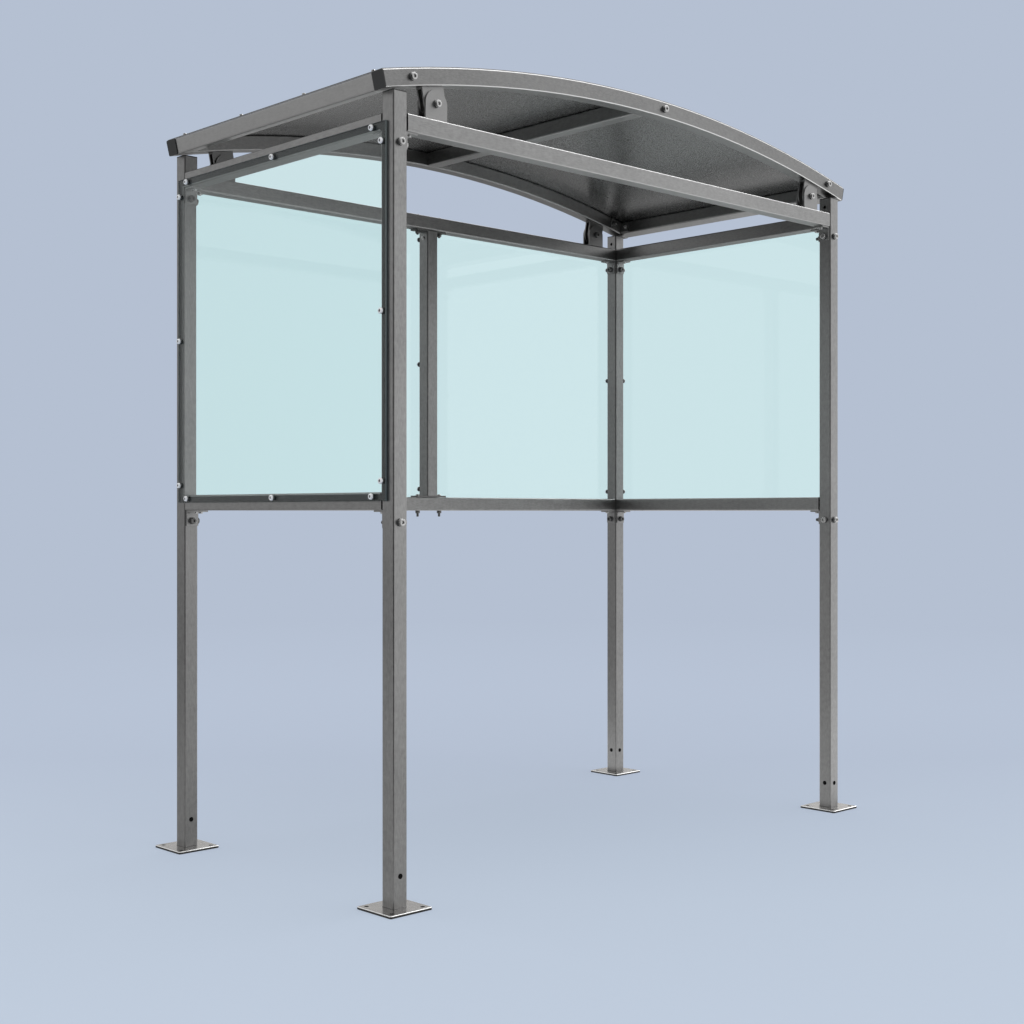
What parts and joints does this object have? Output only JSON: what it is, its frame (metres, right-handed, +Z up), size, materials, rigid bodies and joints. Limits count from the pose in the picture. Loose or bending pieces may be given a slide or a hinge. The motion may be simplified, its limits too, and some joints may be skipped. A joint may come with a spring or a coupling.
{
  "type": "smoking shelter",
  "caption": "Open-fronted steel frame shelter on base plates, with clear upper panels at the sides and back and an arched sheet-metal roof on bolted pivot brackets.",
  "frame": {"origin": "centre of the footprint on the ground, midway between the four posts", "axes": "+X runs right along the open front, +Y points from the open front to the back, +Z up"},
  "size_m": [2.23, 1.22, 2.4467],
  "materials": {
    "frame_steel": "satin grey, square tube with rounded edges",
    "plate_steel": "satin grey plate, lighter than the tubes",
    "bracket_steel": "satin grey bent and cut plate",
    "roof_steel": "smooth semi-gloss sheet, slightly mottled",
    "clear_panel": "clear with a pale aqua tint",
    "cap_plastic": "black end cap",
    "bolt_steel": "bright stainless fasteners"
  },
  "bodies": {
    "root": {"post_front_left": "frame_steel", "post_front_right": "frame_steel", "post_back_left": "frame_steel", "post_back_right": "frame_steel", "base_plate_front_left": "plate_steel", "base_plate_front_right": "plate_steel", "base_plate_back_left": "plate_steel", "base_plate_back_right": "plate_steel", "post_cap_front_left": "cap_plastic", "post_cap_front_right": "cap_plastic", "post_cap_back_left": "cap_plastic", "post_cap_back_right": "cap_plastic", "rail_top_front": "frame_steel", "rail_top_back": "frame_steel", "rail_top_left": "frame_steel", "rail_top_right": "frame_steel", "rail_mid_back": "frame_steel", "rail_mid_left": "frame_steel", "rail_mid_right": "frame_steel", "angles_front_left": "bracket_steel", "angles_front_right": "bracket_steel", "angles_back_left": "bracket_steel", "angles_back_right": "bracket_steel", "mullion": "frame_steel", "mullion_flange_lower": "bracket_steel", "mullion_flange_upper": "bracket_steel", "panel_left": "clear_panel", "panel_right": "clear_panel", "panel_back_left": "clear_panel", "panel_back_right": "clear_panel", "roof_forks_front": "bracket_steel", "roof_forks_back": "bracket_steel", "roof_tongues_front": "bracket_steel", "roof_tongues_back": "bracket_steel", "pivot_bolts": "bolt_steel", "arch_front": "frame_steel", "arch_back": "frame_steel", "arch_caps": "cap_plastic", "purlin_left": "frame_steel", "purlin_crown": "frame_steel", "purlin_right": "frame_steel", "cleats_front": "bracket_steel", "cleats_back": "bracket_steel", "roof_sheet": "roof_steel", "roof_screws": "bolt_steel"}
  },
  "joints": []
}
